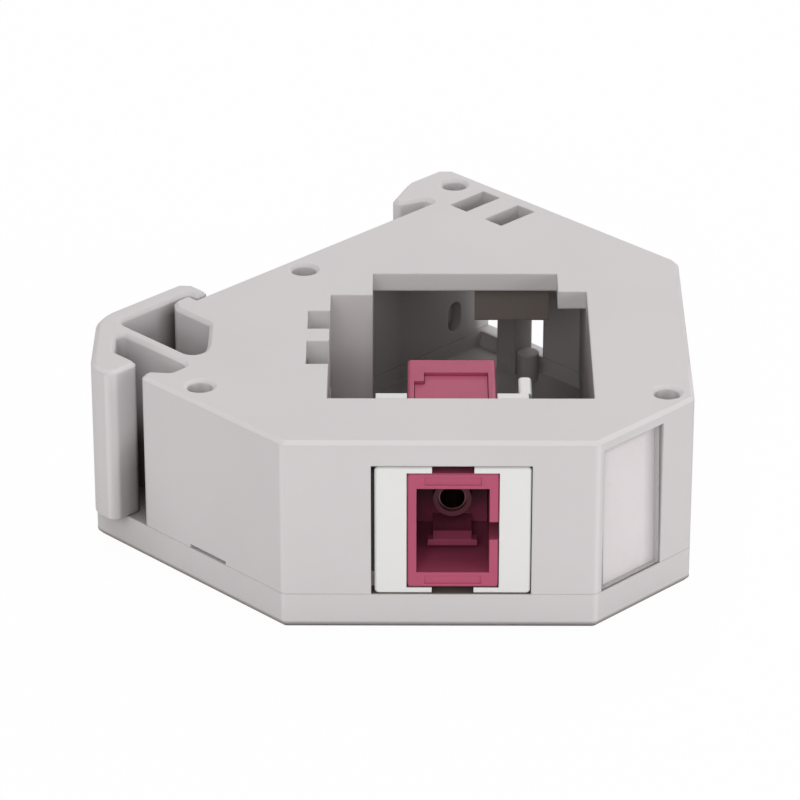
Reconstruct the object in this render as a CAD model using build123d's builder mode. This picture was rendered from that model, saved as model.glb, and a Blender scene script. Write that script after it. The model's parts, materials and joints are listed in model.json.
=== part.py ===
from build123d import *
import os
from math import cos, radians, sin, sqrt

os.makedirs("parts", exist_ok=True)

# A rail-mounted housing that holds one fibre adapter in a jack frame.
# It lies on its flat cover: +Z is its thickness and the port faces -Y.
# Two plan systems are used. The front system has X along the port face and
# Y into the housing. The rail system is turned 45 degrees: u runs along the
# mounting rail and n points out of the rail face, towards the rail.
# Both start below the port's centre, at the port face.

# Mounting rail, which slots in between the fixed hook and the spring latch
rail_width = 35.0
rail_play = 0.2
rail_slot_depth = 1.3

# Walls of the housing; its thickness follows from the jack frame inside
seam_height = 3.8
roof_thickness = 2.0
head_room = 0.7
wall = 1.8
cover_floor = 2.0
base_chamfer = 0.35
roof_edge = 0.4

# Corner radii of the mouldings, seen in plan
edge_radius = 0.6
tight_radius = 0.5
soft_radius = 0.8
front_radius = 1.0
heel_radius = 2.0

# Housing outline
port_face_width = 31.4
port_shift = 1.3
label_face_length = 14.15
body_depth = 52.55
latch_side_length = 16.5
hook_root = 7.6

# Fixed hook at the upper end of the rail face
hook_height = 5.7
hook_corner = 1.2
hook_lip_length = 3.0
hook_lip_tip = 1.1
hook_mouth = 2.4
hook_taper = 3.6

# Coring pocket inside the root of the hook
core_inset = 1.55
core_height = 7.0
core_length = 3.5
core_width = 2.0
core_depth = 1.6

# Stop bump and pocket beside the spring latch
stop_flat = 2.1
stop_width = 3.15
stop_slope = 1.4
pocket_width = 6.45
pocket_slant = 3.55
pocket_shoulder = 4.4
pocket_step = 0.85
pocket_foot = 1.2

# Spring latch at the lower end of the rail face
latch_depth = 9.77
latch_lift = 0.1
latch_reach = 4.0
latch_cut = 6.0
arm_thickness = 1.55
bar_thickness = 2.3
bar_radius = 5.0
bend_radius = 2.6
slot_width = 3.35
slot_depth = 1.2
slot_taper = 0.8
slot_flare = 0.6
slot_lip = 0.5
arm_foot = 1.5
arm_root_radius = 1.1
head_gap = 2.3
head_overhang = 1.9
head_radius = 1.0
nub_start = 0.4
nub_length = 1.6
nub_slope = 1.2
nub_gap = 0.45
cover_stop_flat = 2.7
cover_corner_radius = 1.5

# Top window that gives access to the adapter's rear port
window_front = 9.65
window_left_margin = 4.3
window_right_margin = 0.1
window_depth = 29.65
left_step_width = 4.4
left_step_depth = 5.3
right_step_width = 3.0
right_step_depth = 4.4
bay_wall = 2.3

# Tie slots beside the window and beside the cable exit
side_slot_widths = (5.4, 4.3)
side_slot_starts = (17.5, 25.8)
side_slot_depth = 9.0
tie_slot_length = 5.25
tie_slot_width = 2.5
tie_slot_spacing = 5.3
tie_slot_edge = 1.75
tie_slot_back = 1.95

# Cable exit through the wall at the hook end, and the rib behind the window
exit_width = 10.2
exit_height = 8.6
exit_back = 0.6
pillar_size = 2.7
pillar_shift = 2.0
post_radius = 1.2
post_height = 3.2
post_shift = 5.0
post_gap = 2.3
rib_start = 2.6
rib_length = 8.0
rib_setback = 2.5
rib_drop = 4.3
rib_thickness = 1.5

# Assembly pins of the cover and their bores in the shell
pin_radius = 1.2
pin_chamfer = 0.3
bore_clearance = 0.1
bore_lead = 0.35
boss_wall = 0.9
pin_inset = 2.75
pin_depth = 2.6
side_pin_back = 15.47
hook_pin_drop = 4.1
rail_pin_offset = 13.0

# Snap slot of the cover in the latch side, just above the seam
snap_slot_back = 19.15
snap_slot_length = 5.3
snap_slot_height = 0.4
snap_slot_depth = 1.2

# Jack frame; its plate stands 3.2 mm out on both sides of the adapter
frame_side = 3.2
frame_skin = 0.69
plate_corner = 0.5
plate_thickness = 2.0
plate_edge = 0.2
notch_width = 4.2
frame_gap = 0.1
side_gap = 0.35
opening_play = 0.05
frame_length = 16.4
ledge_length = 4.0

# Release beam, catch and lug of the jack frame, and the rests below it
latch_beam = 1.35
latch_beam_length = 20.1
beam_lean = 0.35
beam_corner = 0.4
beam_slit = 0.5
slit_length = 11.4
catch_step = 0.9
catch_length = 2.4
catch_margin = 1.5
catch_root = 0.2
lug_reach = 1.0
lug_length = 2.0
panel_clearance = 0.2
rest_spread = 6.0
rest_width = 1.6
rest_start = 0.5

# Adapter body, and its two identical ports
adapter_length = 25.8
port_width = 7.3
port_opening = 9.45
adapter_side = 0.92
adapter_deck = 1.675
adapter_fit = 0.06
key_slot_width = 2.0
key_slot_depth = 7.0
corner_radius = 0.35
rim_edge = 0.15
mark_width = 5.7
mark_height = 0.9
mark_depth = 0.12

# Lid that closes the adapter body after the sleeve holders are in
lid_inset = 3.05
lid_right = 3.76
lid_left = 3.9
lid_tongue_left = 2.87
lid_tongue_length = 2.0
lid_sink = 0.35
lid_thickness = 1.0
lid_fit = 0.05
lid_bearing = 3.0

# Sleeve, sleeve holders and connector latches
sleeve_bore = 2.5
sleeve_wall = 0.35
sleeve_length = 11.4
sleeve_slit = 0.45
barrel_wall = 0.335
barrel_play = 0.04
barrel_lip = 0.35
lip_clearance = 0.2
flange_thickness = 2.2
holder_fit = 0.05
arm_width = 3.9
hook_arm = 0.65
tip_width = 5.0
tip_length = 1.1
tip_rise = 0.5
arm_reach = 8.0
arm_gap = 0.425

# Label field on the face beside the port
label_start = 0.85
label_width = 8.7
label_top = 1.3
label_depth = 1.3
label_play = 0.2
card_lean = 1.4
card_thickness = 0.25
cover_strip = 0.65

# Corners of the outline in the rail system
root2 = sqrt(2)
face_left = port_face_width / 2 + port_shift
face_right = port_face_width / 2 - port_shift
low_u = -face_left / root2
label_n = -face_right / root2
label_u0 = face_right / root2
label_u1 = label_u0 + label_face_length
right_x = (label_u1 - label_n) / root2
rail_low_u = low_u + latch_side_length
rail_high_u = rail_low_u + rail_width + 2 * rail_play
high_u = rail_high_u + hook_root
rail_face_n = label_n + body_depth
hook_back_n = rail_face_n + hook_height
stop_top_n = rail_face_n + rail_slot_depth

# Lines of the latch: its outer bend is a 45 degree cut across the corner
latch_root_n = rail_face_n - latch_depth
latch_back_n = rail_face_n + latch_reach
latch_diagonal = latch_back_n - low_u - latch_cut
left_x = latch_diagonal / root2
inner_diagonal = latch_diagonal - bar_thickness * root2
pocket_right_u = rail_low_u - stop_width
arm_right_u = pocket_right_u - pocket_width
arm_left_u = arm_right_u - arm_thickness
slot_left_u = arm_left_u - slot_width
pocket_foot_u = pocket_right_u - pocket_slant - pocket_foot
slot_end_n = latch_root_n - slot_depth
lip_n = latch_root_n + slot_lip
head_n = lip_n + head_gap
head_front_u = low_u - head_overhang
bar_inner_n = latch_back_n - bar_thickness
nub_end_u = rail_low_u + nub_start + nub_length

# Adapter and jack frame, sized outwards from the port
adapter_width = port_width + 2 * adapter_side
adapter_height = port_opening + 2 * adapter_deck
hole_width = adapter_width + 2 * adapter_fit
hole_height = adapter_height + 2 * adapter_fit
plate_width = hole_width + 2 * frame_side
plate_height = hole_height + 2 * frame_skin
port_height = seam_height + frame_gap + plate_height / 2
adapter_top = port_height + adapter_height / 2
lid_end = adapter_length - lid_inset
sleeve_diameter = sleeve_bore + 2 * sleeve_wall
bore_diameter = sleeve_diameter + 2 * barrel_play
arm_offset = port_opening / 2 - arm_gap
tip_height = hook_arm + tip_rise
barrel_inside = sleeve_length / 2 + barrel_play
barrel_end = barrel_inside + barrel_lip

# Heights and places shared by the pieces
opening_top = seam_height + plate_height + 2 * frame_gap
roof_z = opening_top + head_room
housing_thickness = roof_z + roof_thickness
inner_height = roof_z - seam_height
window_left = face_left - window_left_margin
window_right = face_right - window_right_margin
window_back = window_front + window_depth
step_y = window_back - left_step_depth
step_x = left_step_width - window_left
slot_centre_u = high_u - tie_slot_edge - tie_slot_length / 2
slot_back_n = rail_face_n - tie_slot_back
exit_n = rail_face_n - wall + exit_back - exit_width / 2
opening_width = plate_width + side_gap + opening_play
opening_x = (opening_play - side_gap) / 2
frame_y = wall + panel_clearance
beam_x = plate_width / 2
boss_radius = pin_radius + bore_clearance + boss_wall
label_field_height = housing_thickness - label_top - seam_height
label_middle_z = seam_height + label_field_height / 2
label_middle_u = label_start + label_width / 2
pin_places = [
    (low_u + pin_inset, rail_face_n - side_pin_back),
    (high_u - pin_inset, hook_back_n - hook_pin_drop),
    (root2 * (right_x - pin_inset) + label_n + pin_inset, label_n + pin_inset),
    (rail_low_u + rail_pin_offset, rail_face_n - pin_inset),
]

# Working planes: the model's origin is the centre of its box, on the cover's face
back_y = (high_u + hook_back_n - hook_corner) / root2
centre = ((left_x - right_x) / 2, -back_y / 2)
front = Plane(origin=(centre[0], centre[1], 0))
rail = Plane(origin=(centre[0], centre[1], 0), x_dir=(1, 1, 0), z_dir=(0, 0, 1))
port = Plane(origin=(centre[0], centre[1], port_height), x_dir=(1, 0, 0), z_dir=(0, -1, 0))
port_rear = port.offset(-adapter_length)
sleeve_middle = port.offset(-adapter_length / 2)
sleeve_side = Plane(origin=sleeve_middle.origin, x_dir=(0, -1, 0), z_dir=(1, 0, 0))
hook_inside = Plane(
    origin=rail.from_local_coords((0, rail_face_n - wall, 0)), x_dir=(1, 1, 0), z_dir=(1, -1, 0)
)
label_face = Plane(
    origin=rail.from_local_coords((label_u0, label_n, 0)), x_dir=(1, 1, 0), z_dir=(1, -1, 0)
)


# Draws a closed outline from corners given as (u, n, corner radius)
def rounded_outline(corners):
    FilletPolyline(
        *[(u, n) for u, n, r in corners], radius=[r for u, n, r in corners], close=True
    )


# Corners that the shell and the cover share, from the port face round to the stop bump
def shared_corners():
    lip_u = rail_high_u - hook_lip_length
    return [
        (low_u, -low_u, front_radius),
        (label_u0, label_n, front_radius),
        (label_u1, label_n, front_radius),
        (high_u, high_u - right_x * root2, heel_radius),
        (high_u, hook_back_n - hook_corner, edge_radius),
        (high_u - hook_corner, hook_back_n, edge_radius),
        (lip_u + hook_taper + hook_lip_tip, hook_back_n, heel_radius),
        (lip_u, rail_face_n + hook_mouth + hook_lip_tip, edge_radius),
        (lip_u, rail_face_n + hook_mouth, tight_radius),
        (rail_high_u, stop_top_n, tight_radius),
        (rail_high_u, rail_face_n, tight_radius),
        (rail_low_u, rail_face_n, 0),
        (rail_low_u, stop_top_n, edge_radius),
    ]


# Turns a place in the front system into the rail system
def to_rail(x, y):
    return (x + y) / root2, (y - x) / root2


# Draws the line of the outer walls, without hook and latch
def wall_line():
    Polyline(
        (low_u, -low_u),
        (label_u0, label_n),
        (label_u1, label_n),
        (high_u, high_u - right_x * root2),
        (high_u, rail_face_n),
        (pocket_right_u, rail_face_n),
        (pocket_right_u, latch_root_n + pocket_shoulder),
        (pocket_right_u - pocket_slant, latch_root_n + pocket_step),
        (pocket_foot_u, slot_end_n),
        (low_u, slot_end_n),
        close=True,
    )


# Main moulding: roof, walls, hook, spring latch and the bay for the jack frame
with BuildPart() as housing_shell:
    with BuildSketch(rail.offset(seam_height)):
        with BuildLine():
            rounded_outline(
                shared_corners()
                + [
                    (rail_low_u - stop_flat, stop_top_n, soft_radius),
                    (pocket_right_u, stop_top_n - stop_slope, edge_radius),
                    (pocket_right_u, latch_root_n + pocket_shoulder, soft_radius),
                    (pocket_right_u - pocket_slant, latch_root_n + pocket_step, soft_radius),
                    (pocket_foot_u, latch_root_n, edge_radius),
                    (arm_left_u, slot_end_n, edge_radius),
                    (slot_left_u + slot_taper, slot_end_n, edge_radius),
                    (slot_left_u - slot_flare, lip_n, edge_radius),
                    (low_u, lip_n, soft_radius),
                ]
            )
        make_face()
    extrude(amount=housing_thickness - seam_height)

    # Hollow inside: pin bosses and the walls of the bay are left standing
    with BuildSketch(rail.offset(seam_height)):
        with BuildLine():
            wall_line()
        make_face()
        offset(amount=-wall, kind=Kind.INTERSECTION)
        with Locations(*pin_places):
            Circle(boss_radius, mode=Mode.SUBTRACT)
        for left, right, near, far in (
            (-window_left - bay_wall, -window_left, 0, step_y),
            (-window_left - bay_wall, step_x, step_y, step_y + bay_wall),
            (step_x - bay_wall, step_x, step_y, back_y),
            (window_right, window_right + bay_wall, 0, back_y),
        ):
            with Locations(to_rail((left + right) / 2, (near + far) / 2)):
                Rectangle(right - left, far - near, rotation=-45, mode=Mode.SUBTRACT)
    extrude(amount=inner_height, mode=Mode.SUBTRACT)

    # Spring latch: thin arm, slanted head and outer bar ending in the nub
    with BuildSketch(rail.offset(seam_height + latch_lift)):
        with BuildLine():
            rounded_outline(
                [
                    (arm_left_u - arm_foot, latch_root_n - wall, 0),
                    (arm_left_u - arm_foot, slot_end_n, 0),
                    (arm_left_u, slot_end_n, arm_root_radius),
                    (arm_left_u, arm_left_u + inner_diagonal, edge_radius),
                    (slot_left_u, slot_left_u + inner_diagonal, edge_radius),
                    (slot_left_u, head_n, soft_radius),
                    (head_front_u, head_n, head_radius),
                    (head_front_u, head_front_u + latch_diagonal, bend_radius),
                    (latch_back_n - latch_diagonal, latch_back_n, bar_radius),
                    (nub_end_u - head_radius, latch_back_n, head_radius),
                    (nub_end_u, latch_back_n - nub_slope, edge_radius),
                    (nub_end_u, rail_face_n + nub_gap, tight_radius),
                    (rail_low_u + nub_start, rail_face_n + nub_gap, tight_radius),
                    (rail_low_u + nub_start, bar_inner_n, tight_radius),
                    (arm_right_u, bar_inner_n, head_radius),
                    (arm_right_u, latch_root_n, arm_root_radius),
                    (pocket_foot_u, latch_root_n, 0),
                    (pocket_foot_u, latch_root_n - wall, 0),
                ]
            )
        make_face()
    extrude(amount=housing_thickness - seam_height - latch_lift)
    chamfer(housing_shell.edges().group_by(Axis.Z)[-1], length=roof_edge)

    # Bores for the cover's pins, widened a little at the roof
    with BuildSketch(rail.offset(seam_height)):
        with Locations(*pin_places):
            Circle(pin_radius + bore_clearance)
    extrude(amount=housing_thickness - seam_height, mode=Mode.SUBTRACT)
    chamfer(housing_shell.edges(Select.LAST).group_by(Axis.Z)[-1], length=bore_lead)

    # Window in the roof, with its two stepped corners
    with BuildSketch(front.offset(roof_z)):
        with BuildLine():
            Polyline(
                (-window_left, window_front),
                (window_right, window_front),
                (window_right, window_back - right_step_depth),
                (window_right - right_step_width, window_back - right_step_depth),
                (window_right - right_step_width, window_back),
                (step_x, window_back),
                (step_x, step_y),
                (-window_left, step_y),
                close=True,
            )
        make_face()
    extrude(amount=roof_thickness, mode=Mode.SUBTRACT)

    # Side slots through the left bay wall, for a cable tie
    for start, width in zip(side_slot_starts, side_slot_widths):
        with BuildSketch(front.offset(housing_thickness)):
            with Locations((-window_left - bay_wall / 2, start + width / 2)):
                Rectangle(bay_wall, width)
        extrude(amount=-side_slot_depth, mode=Mode.SUBTRACT)

    # Tie slots in the roof beside the cable exit
    with BuildSketch(rail.offset(roof_z)):
        with Locations(
            (slot_centre_u, slot_back_n - tie_slot_width / 2),
            (slot_centre_u, slot_back_n - tie_slot_width / 2 - tie_slot_spacing),
        ):
            Rectangle(tie_slot_length, tie_slot_width)
    extrude(amount=roof_thickness, mode=Mode.SUBTRACT)

    # Cable exit in the wall at the hook end, open down to the seam
    with BuildSketch(rail.offset(seam_height)):
        with Locations((high_u - wall / 2, exit_n)):
            Rectangle(2 * wall, exit_width)
    extrude(amount=exit_height, mode=Mode.SUBTRACT)

    # Coring pocket in the thick root of the hook, seen from inside
    with BuildSketch(hook_inside):
        with Locations((rail_high_u + core_inset, core_height)):
            SlotOverall(core_length, core_width, rotation=90)
    extrude(amount=-core_depth, mode=Mode.SUBTRACT)

    # Rib hanging from the roof behind the window
    with BuildSketch(front.offset(roof_z)):
        with Locations((rib_start + rib_length / 2, window_back + rib_setback)):
            Rectangle(rib_length, rib_thickness)
    extrude(amount=-rib_drop)

    # Opening in the port face for the jack frame
    with BuildSketch(front.offset(seam_height)):
        with Locations((opening_x, wall / 2)):
            Rectangle(opening_width, 2 * wall)
    extrude(amount=opening_top - seam_height, mode=Mode.SUBTRACT)

    # Snap slot in the latch side, just above the seam
    with BuildSketch(rail.offset(seam_height)):
        with Locations((low_u + snap_slot_depth / 2, rail_face_n - snap_slot_back)):
            Rectangle(snap_slot_depth, snap_slot_length)
    extrude(amount=snap_slot_height, mode=Mode.SUBTRACT)

    # Sunk label field, open towards the cover
    with BuildSketch(label_face):
        with Locations((label_middle_u, label_middle_z)):
            Rectangle(label_width, label_field_height)
    extrude(amount=-label_depth, mode=Mode.SUBTRACT)
housing_shell.part.label = "housing_shell"
export_step(housing_shell.part, "parts/housing_shell.step")


# Cover: the flat base plate with a rim, pins and rests for the jack frame
rest_middle = (rest_start + frame_length) / 2
rest_places = [(-rest_spread, rest_middle), (rest_spread, rest_middle)]
with BuildPart() as housing_cover:
    with BuildSketch(rail):
        with BuildLine():
            rounded_outline(
                shared_corners()
                + [
                    (rail_low_u - cover_stop_flat, latch_back_n, edge_radius),
                    (latch_back_n - latch_diagonal, latch_back_n, bar_radius),
                    (low_u, low_u + latch_diagonal, cover_corner_radius),
                ]
            )
        make_face()
    extrude(amount=seam_height)
    chamfer(housing_cover.edges().group_by(Axis.Z)[0], length=base_chamfer)

    # Tray inside the rim: pads below the pins and two rests for the frame stay
    with BuildSketch(rail.offset(cover_floor)):
        with BuildLine():
            wall_line()
        make_face()
        offset(amount=-wall, kind=Kind.INTERSECTION)
        with Locations(*pin_places):
            Circle(boss_radius, mode=Mode.SUBTRACT)
        with Locations(*[to_rail(x, y) for x, y in rest_places]):
            Rectangle(rest_width, frame_length - rest_start, rotation=-45, mode=Mode.SUBTRACT)
    extrude(amount=seam_height - cover_floor, mode=Mode.SUBTRACT)

    # Pins that reach up into the shell's bosses, with a small lead at the end
    with BuildSketch(rail.offset(seam_height)):
        with Locations(*pin_places):
            Circle(pin_radius)
    extrude(amount=housing_thickness - pin_depth - seam_height)
    chamfer(housing_cover.edges().group_by(Axis.Z)[-1], length=pin_chamfer)

    # Square pillar against the rim at the cable exit, and a low round post beside it
    with BuildSketch(rail.offset(cover_floor)):
        with Locations((high_u - wall - pillar_size / 2, exit_n - pillar_shift)):
            Rectangle(pillar_size, pillar_size)
    extrude(amount=exit_height)
    with BuildSketch(rail.offset(cover_floor)):
        with Locations((high_u - wall - post_gap, exit_n - post_shift)):
            Circle(post_radius)
    extrude(amount=post_height)
housing_cover.part.label = "housing_cover"
export_step(housing_cover.part, "parts/housing_cover.step")


# Jack frame: front plate, cage walls, fixed lug and the flexible release beam
with BuildPart() as keystone_frame:
    with BuildSketch(port):
        RectangleRounded(plate_width, plate_height, plate_corner)
    extrude(amount=-plate_thickness)
    chamfer(keystone_frame.edges().group_by(Axis.Y)[0], length=plate_edge)
    with BuildSketch(port):
        Rectangle(hole_width, hole_height)
        Rectangle(notch_width, 2 * plate_height)
    extrude(amount=-plate_thickness, mode=Mode.SUBTRACT)

    # Cage round the adapter, and two ledges at its rear
    with BuildSketch(port.offset(-plate_thickness)):
        Rectangle(plate_width, plate_height)
        Rectangle(hole_width, hole_height, mode=Mode.SUBTRACT)
    extrude(amount=plate_thickness + ledge_length - frame_length)
    with BuildSketch(port.offset(ledge_length - frame_length)):
        Rectangle(plate_width, plate_height)
        Rectangle(hole_width, 2 * plate_height, mode=Mode.SUBTRACT)
    extrude(amount=-ledge_length)

    # Release beam on the right wall, freed by a slit
    with BuildSketch(port.offset(-frame_length)):
        with Locations((beam_x + beam_lean - latch_beam / 2, 0)):
            RectangleRounded(latch_beam, plate_height, beam_corner)
    extrude(amount=frame_length - latch_beam_length)
    with BuildSketch(front.offset(seam_height)):
        with Locations((beam_x - latch_beam - beam_slit / 2, plate_thickness + slit_length / 2)):
            Rectangle(beam_slit, slit_length)
    extrude(amount=plate_height + 2 * frame_gap, mode=Mode.SUBTRACT)

    # Catch on the beam and lug on the left, which hold the frame behind the port face
    with BuildSketch(front.offset(seam_height + frame_gap + catch_margin)):
        with BuildLine():
            Polyline(
                (beam_x - catch_root, frame_y),
                (beam_x + catch_step, frame_y),
                (beam_x, frame_y + catch_length),
                (beam_x - catch_root, frame_y + catch_length),
                close=True,
            )
        make_face()
        with Locations(
            (beam_x - plate_width + (catch_root - lug_reach) / 2, frame_y + lug_length / 2)
        ):
            Rectangle(lug_reach + catch_root, lug_length)
    extrude(amount=plate_height - 2 * catch_margin)
keystone_frame.part.label = "keystone_frame"
export_step(keystone_frame.part, "parts/keystone_frame.step")


# Draws the outline of the lid, or of its seat when the play is zero
def lid_line(play):
    Polyline(
        (play - lid_left, lid_inset + play),
        (lid_right - play, lid_inset + play),
        (lid_right - play, lid_end - play),
        (play - lid_tongue_left, lid_end - play),
        (play - lid_tongue_left, lid_end - lid_tongue_length - play),
        (play - lid_left, lid_end - lid_tongue_length - play),
        close=True,
    )


# Adapter body: a rectangular tube with two ports, key slots and the lid's seat
mark_place = (port_opening + adapter_height) / 4
with BuildPart() as adapter_body:
    with BuildSketch(port):
        RectangleRounded(adapter_width, adapter_height, corner_radius)
    extrude(amount=-adapter_length)
    chamfer(adapter_body.faces().filter_by(Axis.Y).edges(), length=rim_edge)
    with BuildSketch(port):
        Rectangle(port_width, port_opening)
    extrude(amount=-adapter_length, mode=Mode.SUBTRACT)

    # Key slots through the right wall, and shallow marks above and below each port
    for end, way in ((port, -1), (port_rear, 1)):
        with BuildSketch(end):
            with Locations((adapter_width / 2, 0)):
                Rectangle(2 * adapter_side, key_slot_width)
        extrude(amount=way * key_slot_depth, mode=Mode.SUBTRACT)
        with BuildSketch(end):
            with Locations((0, mark_place), (0, -mark_place)):
                Rectangle(mark_width, mark_height)
        extrude(amount=way * mark_depth, mode=Mode.SUBTRACT)

    # Seat of the lid, with a narrower tongue at the rear, and the opening below it
    with BuildSketch(front.offset(adapter_top)):
        with BuildLine():
            lid_line(0)
        make_face()
    extrude(amount=-(lid_sink + lid_thickness), mode=Mode.SUBTRACT)
    with BuildSketch(front.offset(adapter_top)):
        with Locations((0, adapter_length / 2)):
            Rectangle(port_width, adapter_length - 2 * (lid_inset + lid_bearing))
    extrude(amount=-adapter_height / 2, mode=Mode.SUBTRACT)
adapter_body.part.label = "adapter_body"
export_step(adapter_body.part, "parts/adapter_body.step")


# Lid in the adapter body's upper wall
with BuildPart() as adapter_lid:
    with BuildSketch(front.offset(adapter_top - lid_sink)):
        with BuildLine():
            lid_line(lid_fit)
        make_face()
    extrude(amount=-lid_thickness)
adapter_lid.part.label = "adapter_lid"
export_step(adapter_lid.part, "parts/adapter_lid.step")


# Sleeve holders: each has a flange, half of the barrel and two connector latches
for name, way in (("sleeve_holder_front", 1), ("sleeve_holder_rear", -1)):
    with BuildPart() as holder:
        with BuildSketch(sleeve_middle):
            Rectangle(port_width - 2 * holder_fit, port_opening - 2 * holder_fit)
        extrude(amount=way * flange_thickness)
        with BuildSketch(sleeve_middle):
            Circle(bore_diameter / 2 + barrel_wall)
        extrude(amount=way * barrel_end)

        # Latch arms above and below the barrel, with wide tips and ramped hooks
        with BuildSketch(sleeve_middle):
            with Locations((0, arm_offset - hook_arm / 2), (0, hook_arm / 2 - arm_offset)):
                Rectangle(arm_width, hook_arm)
        extrude(amount=way * arm_reach)
        with BuildSketch(sleeve_middle.offset(way * (arm_reach - tip_length))):
            with Locations((0, arm_offset - hook_arm / 2), (0, hook_arm / 2 - arm_offset)):
                Rectangle(tip_width, hook_arm)
        extrude(amount=way * tip_length)
        with BuildSketch(sleeve_side):
            for up in (1, -1):
                with BuildLine():
                    Polyline(
                        (way * arm_reach, up * (arm_offset - hook_arm)),
                        (way * (arm_reach - tip_length), up * (arm_offset - tip_height)),
                        (way * (arm_reach - tip_length), up * (arm_offset - hook_arm / 2)),
                        (way * arm_reach, up * (arm_offset - hook_arm / 2)),
                        close=True,
                    )
                make_face()
        extrude(amount=arm_width / 2, both=True)

        # Bore for the sleeve, and the smaller hole that lets the ferrule in
        with BuildSketch(sleeve_middle):
            Circle(bore_diameter / 2)
        extrude(amount=way * barrel_inside, mode=Mode.SUBTRACT)
        with BuildSketch(sleeve_middle):
            Circle(sleeve_bore / 2 + lip_clearance)
        extrude(amount=way * barrel_end, mode=Mode.SUBTRACT)
    holder.part.label = name
    export_step(holder.part, "parts/" + name + ".step")


# Split sleeve that lines up the two ferrules
with BuildPart() as split_sleeve:
    with BuildSketch(sleeve_middle.offset(sleeve_length / 2)):
        Circle(sleeve_diameter / 2)
        Circle(sleeve_bore / 2, mode=Mode.SUBTRACT)
        with Locations((0, sleeve_diameter / 2)):
            Rectangle(sleeve_slit, sleeve_diameter, mode=Mode.SUBTRACT)
    extrude(amount=-sleeve_length)
split_sleeve.part.label = "split_sleeve"
export_step(split_sleeve.part, "parts/split_sleeve.step")


# Label card and its clear strip: they touch the field's floor at the top and lean out below
card_height = label_field_height - 2 * label_play
card_top = label_face.from_local_coords(
    (label_middle_u, label_middle_z + card_height / 2, -label_depth)
)
lean = radians(card_lean)
card_plane = Plane(origin=card_top, x_dir=(1, 1, 0), z_dir=(cos(lean), -cos(lean), root2 * sin(lean)))
for name, bottom, thickness in (
    ("label_card", card_plane, card_thickness),
    ("label_window", card_plane.offset(card_thickness), cover_strip),
):
    with BuildPart() as insert:
        with BuildSketch(bottom):
            with Locations((0, -card_height / 2)):
                Rectangle(label_width - 2 * label_play, card_height)
        extrude(amount=thickness)
    insert.part.label = name
    export_step(insert.part, "parts/" + name + ".step")
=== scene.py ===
import bpy
import json
import math
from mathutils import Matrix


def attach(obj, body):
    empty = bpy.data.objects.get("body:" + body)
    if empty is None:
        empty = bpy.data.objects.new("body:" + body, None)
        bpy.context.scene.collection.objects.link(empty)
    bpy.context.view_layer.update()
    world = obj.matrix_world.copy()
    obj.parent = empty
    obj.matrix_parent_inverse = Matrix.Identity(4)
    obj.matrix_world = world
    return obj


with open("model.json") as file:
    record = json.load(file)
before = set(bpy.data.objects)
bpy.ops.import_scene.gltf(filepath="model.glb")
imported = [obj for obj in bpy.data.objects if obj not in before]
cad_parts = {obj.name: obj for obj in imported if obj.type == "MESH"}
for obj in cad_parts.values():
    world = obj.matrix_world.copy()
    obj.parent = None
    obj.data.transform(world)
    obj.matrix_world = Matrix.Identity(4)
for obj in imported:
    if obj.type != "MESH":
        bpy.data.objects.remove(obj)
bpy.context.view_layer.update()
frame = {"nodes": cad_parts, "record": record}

# directions that the finishes refer to; the rail side and the label side stand at 45 degrees
slant = 0.7071
right = (1, 0, 0)
back = (0, 1, 0)
up = (0, 0, 1)
alongRail = (slant, slant, 0)
offRail = (-slant, slant, 0)
outOfLabel = (slant, -slant, 0)

# the view of the photograph
view = {
    "place": (0.002474, -0.429749, 0.2245),
    "tilt": 63.3602,
    "turn": 0.2072,
    "focalLength": 202.947,
    "sensorWidth": 36.0,
    "nearest": 0.01,
    "farthest": 20.0,
}

# soft studio: a key from above and behind, low fills around
studio = {
    "floorSize": 3.0,
    "floorDrop": 0.00002,
    "floorColour": (0.88, 0.88, 0.88, 1.0),
    "floorWhite": 0.97,
    "skyLevel": 0.36,
    "skyColour": (1.0, 0.995, 0.99, 1.0),
    "white": (1.0, 1.0, 1.0, 1.0),
    "lamps": {
        "keyBehind": {"place": (0.02, 0.26, 0.72), "aim": (0, 0, 0), "size": 0.55, "watts": 2.85},
        "fillFront": {"place": (-0.12, -0.85, 0.45), "aim": (0, 0, 0.01), "size": 0.50, "watts": 2.8},
        "fillRight": {"place": (0.85, -0.55, 0.16), "aim": (0, 0, 0.01), "size": 0.50, "watts": 3.3},
        "fillLeft": {"place": (-0.85, -0.40, 0.14), "aim": (0, 0, 0.01), "size": 0.50, "watts": 1.15},
        "fillBack": {"place": (0.30, 0.90, 0.25), "aim": (0, 0, 0.01), "size": 0.50, "watts": 1.4},
    },
}


class Value:
    # a shader socket that takes part in plain arithmetic
    def __init__(self, finish, socket):
        self.finish = finish
        self.socket = socket

    def math(self, operation, first, second):
        return self.finish.node("ShaderNodeMath", {"operation": operation}, {0: first, 1: second})

    def __add__(self, other):
        return self.math("ADD", self, other)

    def __radd__(self, other):
        return self.math("ADD", other, self)

    def __sub__(self, other):
        return self.math("SUBTRACT", self, other)

    def __rsub__(self, other):
        return self.math("SUBTRACT", other, self)

    def __mul__(self, other):
        return self.math("MULTIPLY", self, other)

    def __rmul__(self, other):
        return self.math("MULTIPLY", other, self)

    def __or__(self, other):
        # the stronger of two masks
        return self.math("MAXIMUM", self, other)


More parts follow.
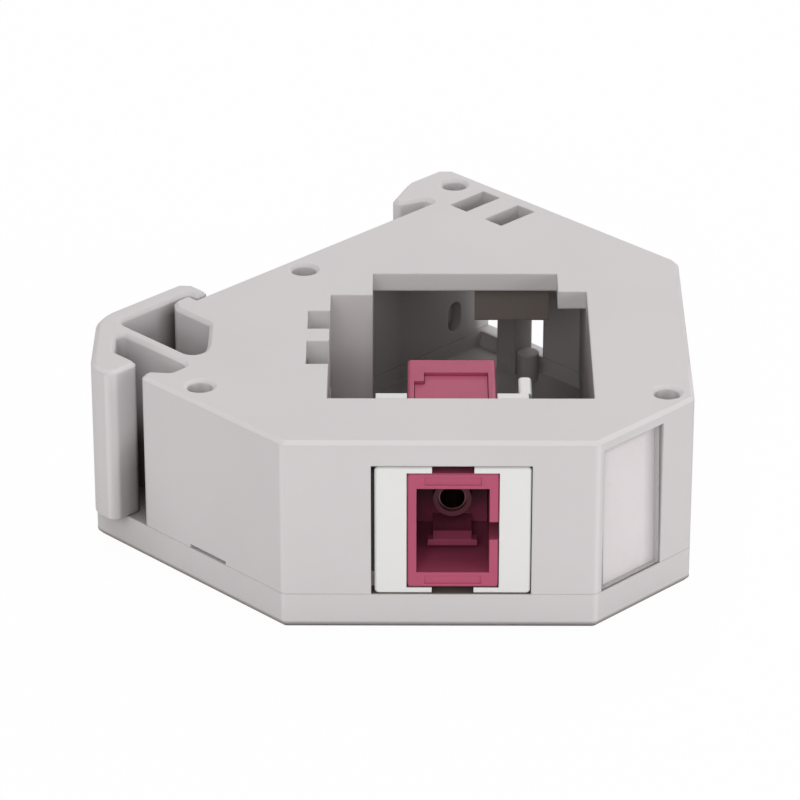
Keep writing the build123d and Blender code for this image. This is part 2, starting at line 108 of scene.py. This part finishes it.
class Finish:
    # the node tree of one material, or of the world
    samples = 6

    def __init__(self, owner):
        owner.use_nodes = True
        self.owner = owner
        self.tree = owner.node_tree
        self.tree.nodes.clear()

    def node(self, kind, settings, values, output=0):
        made = self.tree.nodes.new(kind)
        for key, setting in settings.items():
            if key == "stops":
                for stop, (at, grey) in zip(made.color_ramp.elements, setting):
                    stop.position = at
                    stop.color = (grey, grey, grey, 1.0)
            else:
                setattr(made, key, setting)
        for key, value in values.items():
            if isinstance(value, Value):
                self.tree.links.new(value.socket, made.inputs[key])
            else:
                made.inputs[key].default_value = value
        return Value(self, made.outputs[output]) if made.outputs else None

    def place(self):
        return self.node("ShaderNodeTexCoord", {}, {}, "Object")

    def normal(self):
        return self.node("ShaderNodeNewGeometry", {}, {}, "Normal")

    def dot(self, first, second):
        ends = {0: first, 1: second}
        return self.node("ShaderNodeVectorMath", {"operation": "DOT_PRODUCT"}, ends, "Value")

    def distance(self, first, second):
        ends = {0: first, 1: second}
        return self.node("ShaderNodeVectorMath", {"operation": "DISTANCE"}, ends, "Value")

    def noise(self, size, detail, roughness=0.5):
        # size: width of one blotch in millimetres
        scale = 1000.0 / size
        values = {"Vector": self.place(), "Scale": scale, "Detail": detail, "Roughness": roughness}
        return self.node("ShaderNodeTexNoise", {}, values, "Fac")

    def ramp(self, factor, low, high):
        # 0 up to low, 1 from high on, even in between
        return self.node("ShaderNodeValToRGB", {"stops": [(low, 0.0), (high, 1.0)]}, {"Fac": factor})

    def span(self, value, low, high, start, end):
        # start up to low, end from high on, even in between
        values = {"Value": value, "From Min": low, "From Max": high, "To Min": start, "To Max": end}
        return self.node("ShaderNodeMapRange", {}, values, "Result")

    def along(self, direction, low, high, start, end):
        # a span over the place on the object, measured in one direction
        return self.span(self.dot(self.place(), direction), low, high, start, end)

    def facing(self, direction):
        # 1 where the surface faces this way, 0 where it is side on
        return self.dot(self.normal(), direction)

    def mix(self, factor, first, second):
        return self.node("ShaderNodeMix", {"data_type": "RGBA"}, {0: factor, 6: first, 7: second}, 2)

    def roundedNormal(self, radius):
        return self.node("ShaderNodeBevel", {"samples": self.samples}, {"Radius": radius})

    def edgeMask(self, rounded):
        # 1 along the edges, 0 on the flats
        flat, sharp = 0.01, 0.2
        return self.ramp(1 - self.facing(rounded), flat, sharp)

    def leaning(self, rise):
        # 1 on faces whose normal climbs by this much, 0 elsewhere
        play = 0.08
        return self.node("ShaderNodeMath", {"operation": "COMPARE"}, {0: self.facing(up), 1: rise, 2: play})

    def turning(self):
        # 1 halfway round the upright corners of 45 degrees, 0 on the faces beside them:
        # the square is 0 on one face and 0.5 on the other, and 16 lifts the peak to 1
        across = self.facing(right)
        square = across * across
        return square * (0.5 - square) * 16

    def paintedShadeMask(self, paintedShade):
        # painted shade, strong deep inside openings, 0 in the open, each zone within its own limits
        settings = {"samples": self.samples}
        openness = self.node("ShaderNodeAmbientOcclusion", settings, {"Distance": paintedShade["reach"]}, "AO")
        total = None
        for zone in paintedShade["zones"]:
            mask = self.span(openness, paintedShade["closed"], zone["open"], zone["share"], 0)
            for limit in zone.get("limits", ()):
                mask = mask * self.along(*limit)
            if "centre" in zone:
                away = self.distance(self.place(), zone["centre"])
                mask = mask * self.span(away, zone["near"], zone["far"], 1, 0)
            if "upShare" in zone:
                mask = mask * self.span(self.facing(up), 0, 1, 1, zone["upShare"])
            total = total | mask if total else mask
        return total

    def bump(self, height, depth, normal):
        values = {"Strength": 1.0, "Distance": depth, "Height": height, "Normal": normal}
        return self.node("ShaderNodeBump", {}, values)

    def rays(self, *kinds):
        # 1 for rays of these kinds, 0 for the others
        total = None
        for kind in kinds:
            ray = self.node("ShaderNodeLightPath", {}, {}, "Is " + kind + " Ray")
            total = total | ray if total else ray
        return total

    def surface(self, shader):
        self.node("ShaderNodeOutputMaterial", {}, {"Surface": shader})
        return self.owner


def shade(colour, factor=1.0):
    return tuple(channel * factor for channel in colour) + (1.0,)


def below(direction, low, high):
    # limit of a zone: full up to low, gone from high on
    return (direction, low, high, 1, 0)


def above(direction, low, high, start=0):
    # limit of a zone: start up to low, full from high on
    return (direction, low, high, start, 1)


# shade painted into the colour: inside the housing's openings and along the foot of its walls
# matte grey of the housing; the latch's head has softer edges than the rest
# a zone whose "open" is far above 1 darkens evenly, however open the place is
housingGrey = {
    "colour": (0.612, 0.582, 0.588),
    "edgeHighlightColour": (0.690, 0.662, 0.668),
    "paintedShade": {
        "colour": (0.115, 0.093, 0.078),
        "reach": 0.030,
        "closed": 0.08,
        "zones": [
            # inside of the housing
            {"open": 0.90, "share": 0.64,
             "limits": [below(up, 0.0175, 0.0192), above(back, -0.0310, -0.0290),
                        above(right, -0.0030, 0.0010), below(right, 0.0270, 0.0292),
                        below(offRail, 0.0138, 0.0142), below(alongRail, 0.0262, 0.0272),
                        below(outOfLabel, 0.0350, 0.0362)]},
            # rib behind the window
            {"open": 3.00, "share": 0.98,
             "limits": [below(up, 0.0186, 0.0192)],
             "centre": (0.0129, 0.0084, 0.0170), "near": 0.006, "far": 0.009},
            # right wall of the window
            {"open": 1.10, "share": 0.90,
             "limits": [below(up, 0.0204, 0.0210),
                        above(back, -0.0240, -0.0230), below(back, -0.0020, 0.0000),
                        above(right, 0.0195, 0.0202), below(right, 0.0216, 0.0224)]},
            # behind the port's opening
            {"open": 2.00, "share": 0.98,
             "limits": [below(up, 0.0185, 0.0195),
                        above(back, -0.03330, -0.03310), below(back, -0.0290, -0.0270)],
             "centre": (0.0063, -0.0310, 0.0100), "near": 0.0105, "far": 0.0120},
            # slot beside the latch's head
            {"open": 0.55, "share": 0.98,
             "limits": [below(up, 0.0090, 0.0160)],
             "centre": (-0.0256, -0.0145, 0.0060), "near": 0.0060, "far": 0.0090},
            # far corner of the latch's pocket
            {"open": 2.00, "share": 0.90,
             "limits": [below(up, 0.0192, 0.0206),
                        above(offRail, 0.0148, 0.0158), below(offRail, 0.0166, 0.0170),
                        above(alongRail, -0.0190, -0.0166), below(alongRail, -0.01585, -0.01575)]},
            # groove around the label
            {"open": 2.00, "share": 0.60,
             "limits": [below(up, 0.0196, 0.0199),
                        below(outOfLabel, 0.03800, 0.03818), above(outOfLabel, 0.03660, 0.03680),
                        above(alongRail, -0.00820, -0.00805), below(alongRail, 0.00058, 0.00073)]},
            # painted contact shade at the foot of the outer walls
            {"open": 9.00, "share": 0.75, "limits": [below(up, 0.00045, 0.00075)]},
        ],
    },
    "cloudSize": 14.0,
    "cloudDepth": 0.012,
    "grainSize": 0.16,
    "grainDepth": 0.000010,
    "speckShare": 0.05,
    "edgeRadius": 0.00025,
    "bevels": {
        "upright": 0.80,
        "uprightSpan": (-0.0130, -0.0110),
        "upper": 0.75,
        "upperSpan": (-0.0200, -0.0150),
        "upperFacing": (-0.45, -0.1),
        "under": 0.95,
        "underColour": (0.050, 0.045, 0.042),
    },
    "softEdge": {"radius": 0.0005, "across": (-0.0245, -0.0275), "height": (0.0050, 0.0080)},
    "edgeHighlightShare": 0.60,
    "roughness": 0.56,
    "roughnessRange": 0.16,
    "specular": 0.40,
}
frameWhite = {
    "colour": (0.745, 0.742, 0.730),
    "edgeHighlightColour": (0.820, 0.820, 0.805),
    # shade painted into the colour in its gaps and recesses
    "paintedShade": {
        "colour": (0.06, 0.055, 0.05),
        "reach": 0.004,
        "closed": 0.12,
        "zones": [{"open": 0.75, "share": 0.95}],
    },
    "cloudSize": 9.0,
    "cloudDepth": 0.008,
    "grainSize": 0.10,
    "grainDepth": 0.000004,
    "speckShare": 0.03,
    "edgeRadius": 0.00012,
    "edgeHighlightShare": 0.35,
    "roughness": 0.42,
    "roughnessRange": 0.12,
    "specular": 0.42,
}
adapterViolet = {
    "colour": (0.424, 0.078, 0.145),
    "edgeHighlightColour": (0.560, 0.165, 0.260),
    "paintedShade": {
        "colour": (0.040, 0.012, 0.018),
        "reach": 0.010,
        "closed": 0.08,
        "zones": [
            # painted shade in every recess
            {"open": 0.42, "share": 0.5},
            # painted shade inside the front port, whose floor catches the light
            {"open": 1.40, "share": 0.98,
             "limits": [above(back, -0.0332, -0.0290), above(up, 0.0075, 0.0100, 0.35)],
             "centre": (0.0063, -0.0300, 0.0110), "near": 0.010, "far": 0.013, "upShare": 0.20},
            # painted shade in a ring around the ferrule's hole
            {"open": 3.00, "share": 0.85,
             "centre": (0.0063, -0.0266, 0.0111), "near": 0.0024, "far": 0.0032},
        ],
    },
    "cloudSize": 6.0,
    "cloudDepth": 0.03,
    "grainSize": 0.12,
    "grainDepth": 0.000005,
    "speckShare": 0.08,
    "edgeRadius": 0.00010,
    "edgeHighlightShare": 0.30,
    "roughness": 0.40,
    "roughnessRange": 0.12,
    "specular": 0.28,
}
cardWhite = {
    "colour": (0.800, 0.742, 0.757),
    "edgeHighlightColour": (0.840, 0.800, 0.810),
    "paintedShade": {
        "colour": (0.30, 0.27, 0.28),
        "reach": 0.004,
        "closed": 0.10,
        "zones": [
            # soft shadow along the top and along the right end
            {"open": 9.00, "share": 0.60, "limits": [above(up, 0.0184, 0.0194)]},
            {"open": 9.00, "share": 0.60, "limits": [above(alongRail, -0.0012, 0.0003)]},
        ],
    },
    "cloudSize": 5.0,
    "cloudDepth": 0.012,
    "grainSize": 0.3,
    "grainDepth": 0.000004,
    "speckShare": 0.04,
    "edgeRadius": 0.00003,
    "edgeHighlightShare": 0.2,
    "roughness": 0.7,
    "roughnessRange": 0.1,
    "specular": 0.3,
}

# what the four recipes above share
moulding = {
    "cloudDetail": 3.0,
    "cloudStops": (0.35, 0.65),
    "grainDetail": 4.0,
    "grainRoughness": 0.6,
    "speckShade": 0.8,
    "edgePolish": 0.05,
}


def toneBevels(finish, base, pale, bevels):
    # front corners and front chamfers catch the light, the chamfer at the base is in shadow
    upright = finish.turning() * finish.along(back, *bevels["uprightSpan"], 1, 0)
    upper = finish.leaning(slant) * finish.along(back, *bevels["upperSpan"], 1, 0)
    upper = upper * finish.span(finish.facing(right), *bevels["upperFacing"], 0, 1)
    base = finish.mix(upright * bevels["upright"], base, pale)
    base = finish.mix(upper * bevels["upper"], base, pale)
    return finish.mix(finish.leaning(-slant) * bevels["under"], base, shade(bevels["underColour"]))


def mouldedPlastic(name, recipe):
    # cloudy tone, fine grain, a painted highlight along the edges and painted shade in the recesses
    finish = Finish(bpy.data.materials.new(name))
    radius = recipe["edgeRadius"]
    if "softEdge" in recipe:
        soft = recipe["softEdge"]
        softness = finish.along(right, *soft["across"], 0, soft["radius"] - radius)
        radius = radius + softness * finish.along(up, *soft["height"], 0, 1)
    rounded = finish.roundedNormal(radius)
    edge = finish.edgeMask(rounded)
    cloud = finish.ramp(finish.noise(recipe["cloudSize"], moulding["cloudDetail"]), *moulding["cloudStops"])
    grain = finish.noise(recipe["grainSize"], moulding["grainDetail"], moulding["grainRoughness"])
    colour = recipe["colour"]
    depth = recipe["cloudDepth"]
    pale = shade(recipe["edgeHighlightColour"])
    base = finish.mix(cloud, shade(colour, 1 - depth), shade(colour, 1 + depth))
    base = finish.mix(grain * recipe["speckShare"], base, shade(colour, moulding["speckShade"]))
    # painted highlight along the edges
    base = finish.mix(edge * recipe["edgeHighlightShare"], base, pale)
    if "bevels" in recipe:
        base = toneBevels(finish, base, pale, recipe["bevels"])
    # painted shade in the recesses
    base = finish.mix(finish.paintedShadeMask(recipe["paintedShade"]), base, shade(recipe["paintedShade"]["colour"]))
    grit = (grain - 0.5) * recipe["roughnessRange"]
    values = {
        "Base Color": base,
        "Roughness": recipe["roughness"] + grit - edge * moulding["edgePolish"],
        "Normal": finish.bump(grain, recipe["grainDepth"], rounded),
        "Specular IOR Level": recipe["specular"],
    }
    return finish.surface(finish.node("ShaderNodeBsdfPrincipled", {}, values))


# rolled bronze of the alignment sleeve
sleeveBronze = {
    "colour": (0.56, 0.36, 0.22),
    "darkColour": (0.30, 0.17, 0.10),
    # shade painted into the colour down the bore
    "paintedShade": {
        "colour": (0.110, 0.030, 0.045),
        "reach": 0.018,
        "closed": 0.30,
        "zones": [{"open": 1.4, "share": 0.90}],
    },
    "stainSize": 1.2,
    "stainDetail": 4.0,
    "stainStops": (0.4, 0.7),
    "grainSize": 0.08,
    "grainDetail": 3.0,
    "grainDepth": 0.000002,
    "edgeRadius": 0.00004,
    "roughness": 0.30,
    "roughnessRange": 0.15,
}


def rolledBronze(name, recipe):
    finish = Finish(bpy.data.materials.new(name))
    rounded = finish.roundedNormal(recipe["edgeRadius"])
    stain = finish.ramp(finish.noise(recipe["stainSize"], recipe["stainDetail"]), *recipe["stainStops"])
    grain = finish.noise(recipe["grainSize"], recipe["grainDetail"])
    base = finish.mix(stain, shade(recipe["colour"]), shade(recipe["darkColour"]))
    values = {
        "Base Color": finish.mix(finish.paintedShadeMask(recipe["paintedShade"]), base, shade(recipe["paintedShade"]["colour"])),
        "Metallic": 1.0,
        "Roughness": recipe["roughness"] + stain * recipe["roughnessRange"],
        "Normal": finish.bump(grain, recipe["grainDepth"], rounded),
    }
    return finish.surface(finish.node("ShaderNodeBsdfPrincipled", {}, values))


# clear strip over the label: its gloss, its milky edges and its grey sides are what shows
clearCover = {
    "colour": (0.90, 0.89, 0.90),
    "flatShade": 0.97,
    "cover": 0.16,
    "edgeCover": 0.55,
    "scuffCover": 0.03,
    "facing": outOfLabel,
    "sideStops": (0.2, 0.6),
    "sideCover": 0.80,
    "sideColour": (0.52, 0.49, 0.50),
    "edgeRadius": 0.0001,
    "scuffSize": 0.9,
    "scuffDetail": 5.0,
    "scuffRoughness": 0.7,
    "scuffStops": (0.55, 0.75),
    "scuffDepth": 0.0000008,
    "roughness": 0.24,
    "roughnessRange": 0.15,
}


def clearStrip(name, recipe):
    finish = Finish(bpy.data.materials.new(name))
    rounded = finish.roundedNormal(recipe["edgeRadius"])
    edge = finish.edgeMask(rounded)
    marks = finish.noise(recipe["scuffSize"], recipe["scuffDetail"], recipe["scuffRoughness"])
    scuffs = finish.ramp(marks, *recipe["scuffStops"])
    facing = finish.facing(recipe["facing"])
    side = finish.span(facing * facing, *recipe["sideStops"], 1, 0)
    base = finish.mix(edge, shade(recipe["colour"], recipe["flatShade"]), shade(recipe["colour"]))
    cover = recipe["cover"] + edge * (recipe["edgeCover"] - recipe["cover"]) + scuffs * recipe["scuffCover"]
    values = {
        "Base Color": finish.mix(side, base, shade(recipe["sideColour"])),
        "Roughness": recipe["roughness"] + scuffs * recipe["roughnessRange"],
        "Normal": finish.bump(scuffs, recipe["scuffDepth"], rounded),
        "Alpha": cover | side * recipe["sideCover"],
    }
    return finish.surface(finish.node("ShaderNodeBsdfPrincipled", {}, values))


def finishNodes():
    # every CAD node keeps its mesh and takes the finish of its slot
    finishes = {
        "housing_grey": mouldedPlastic("housingGrey", housingGrey),
        "frame_white": mouldedPlastic("frameWhite", frameWhite),
        "adapter_violet": mouldedPlastic("adapterViolet", adapterViolet),
        "card_white": mouldedPlastic("cardWhite", cardWhite),
        "sleeve_bronze": rolledBronze("sleeveBronze", sleeveBronze),
        "clear_cover": clearStrip("clearCover", clearCover),
    }
    for part in frame["record"]["subparts"]:
        for slot in frame["nodes"][part["node"]].material_slots:
            slot.material = finishes[part["material_slot"]]
    print("finishes:", ", ".join(finishes))
    return finishes


# domed tips of the four cover pins, seen down in the roof's bores
pinTips = {
    "places": ((-0.01926, -0.02089), (0.00686, 0.02936), (0.02797, -0.02221), (-0.00933, 0.00702)),
    "foot": 0.0184,
    "radius": 0.00112,
    "rise": 0.0007,
    "rings": 10,
    "sides": 32,
    "inputs": {
        "Points": "NodeSocketGeometry",
        "Radius": "NodeSocketFloat",
        "Rise": "NodeSocketFloat",
        "Sides": "NodeSocketInt",
        "Rings": "NodeSocketInt",
        "Finish": "NodeSocketMaterial",
    },
}


def pinTipTree():
    # a ball is flattened to a dome and set on each pin, its lower half inside the pin
    tree = bpy.data.node_groups.new("pinTips", "GeometryNodeTree")
    for name, kind in pinTips["inputs"].items():
        tree.interface.new_socket(name, in_out="INPUT", socket_type=kind)
    tree.interface.new_socket("Tips", in_out="OUTPUT", socket_type="NodeSocketGeometry")

    def add(kind, values):
        made = tree.nodes.new(kind)
        for key, value in values.items():
            if isinstance(value, bpy.types.NodeSocket):
                tree.links.new(value, made.inputs[key])
            else:
                made.inputs[key].default_value = value
        return made.outputs

    given = tree.nodes.new("NodeGroupInput").outputs
    ballSizes = {"Segments": given["Sides"], "Rings": given["Rings"], "Radius": 1.0}
    ball = add("GeometryNodeMeshUVSphere", ballSizes)
    size = add("ShaderNodeCombineXYZ", {"X": given["Radius"], "Y": given["Radius"], "Z": given["Rise"]})
    dome = add("GeometryNodeTransform", {"Geometry": ball["Mesh"], "Scale": size["Vector"]})
    tips = add("GeometryNodeInstanceOnPoints", {"Points": given["Points"], "Instance": dome["Geometry"]})
    solid = add("GeometryNodeRealizeInstances", {"Geometry": tips["Instances"]})
    smooth = add("GeometryNodeSetShadeSmooth", {"Geometry": solid["Geometry"]})
    dressed = add("GeometryNodeSetMaterial", {"Geometry": smooth["Geometry"], "Material": given["Finish"]})
    tree.links.new(dressed["Geometry"], tree.nodes.new("NodeGroupOutput").inputs["Tips"])
    return tree


def domedPinTips(finish):
    tree = pinTipTree()
    seeds = bpy.data.meshes.new("pinPlaces")
    seeds.from_pydata([(x, y, pinTips["foot"]) for x, y in pinTips["places"]], [], [])
    maker = bpy.data.objects.new("pinPlaces", seeds)
    bpy.context.scene.collection.objects.link(maker)
    grower = maker.modifiers.new("pinTips", "NODES")
    grower.node_group = tree
    inputs = {
        "Radius": pinTips["radius"],
        "Rise": pinTips["rise"],
        "Sides": pinTips["sides"],
        "Rings": pinTips["rings"],
        "Finish": finish,
    }
    for item in tree.interface.items_tree:
        if item.in_out == "INPUT" and item.name in inputs:
            grower[item.identifier] = inputs[item.name]
    ready = maker.evaluated_get(bpy.context.evaluated_depsgraph_get())
    mesh = bpy.data.meshes.new_from_object(ready)
    mesh.name = "pinTips"
    maker.modifiers.remove(grower)
    bpy.data.objects.remove(maker)
    piece = bpy.data.objects.new("pinTips", mesh)
    bpy.context.scene.collection.objects.link(piece)
    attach(piece, "root")
    print("pin tips:", len(mesh.polygons), "faces")


def layFloor():
    # pale paper that the camera sees as nearly white, with the contact shadow kept
    half = studio["floorSize"] / 2
    z = -studio["floorDrop"]
    corners = [(-half, -half, z), (half, -half, z), (half, half, z), (-half, half, z)]
    mesh = bpy.data.meshes.new("floor")
    mesh.from_pydata(corners, [], [(0, 1, 2, 3)])
    floor = bpy.data.objects.new("floor", mesh)
    bpy.context.scene.collection.objects.link(floor)
    finish = Finish(bpy.data.materials.new("floorPaper"))
    seen = finish.rays("Camera", "Glossy", "Transmission")
    paper = finish.node("ShaderNodeBsdfDiffuse", {}, {"Color": studio["floorColour"]})
    white = finish.node("ShaderNodeEmission", {}, {"Color": studio["white"], "Strength": 1.0})
    values = {0: seen * studio["floorWhite"], 1: paper, 2: white}
    mesh.materials.append(finish.surface(finish.node("ShaderNodeMixShader", {}, values)))
    print("floor:", studio["floorSize"], "m wide")


def hangSky():
    # white to the camera, dimmer as a light
    world = bpy.data.worlds.new("studioSky")
    bpy.context.scene.world = world
    finish = Finish(world)
    seen = finish.rays("Camera", "Transmission")
    light = {"Color": studio["skyColour"], "Strength": studio["skyLevel"]}
    dim = finish.node("ShaderNodeBackground", {}, light)
    white = finish.node("ShaderNodeBackground", {}, {"Color": studio["white"], "Strength": 1.0})
    both = finish.node("ShaderNodeMixShader", {}, {0: seen, 1: dim, 2: white})
    finish.node("ShaderNodeOutputWorld", {}, {"Surface": both})
    print("sky:", studio["skyLevel"])


def hangLamps():
    for name, lamp in studio["lamps"].items():
        light = bpy.data.lights.new(name, "AREA")
        light.size = lamp["size"]
        light.energy = lamp["watts"]
        holder = bpy.data.objects.new(name, light)
        bpy.context.scene.collection.objects.link(holder)
        holder.location = lamp["place"]
        x, y, z = [there - here for there, here in zip(lamp["place"], lamp["aim"])]
        holder.rotation_euler = (math.atan2(math.hypot(x, y), z), 0, math.atan2(y, x) + math.pi / 2)
    print("lamps:", ", ".join(studio["lamps"]))


def setCamera():
    lens = bpy.data.cameras.new("photoCamera")
    lens.lens = view["focalLength"]
    lens.sensor_width = view["sensorWidth"]
    lens.clip_start = view["nearest"]
    lens.clip_end = view["farthest"]
    camera = bpy.data.objects.new("photoCamera", lens)
    bpy.context.scene.collection.objects.link(camera)
    camera.location = view["place"]
    camera.rotation_euler = (math.radians(view["tilt"]), 0, math.radians(view["turn"]))
    bpy.context.scene.camera = camera
    bpy.context.scene.view_settings.view_transform = "Standard"
    print("camera:", view["focalLength"], "mm")


setCamera()
finishes = finishNodes()
domedPinTips(finishes["housing_grey"])
layFloor()
hangSky()
hangLamps()
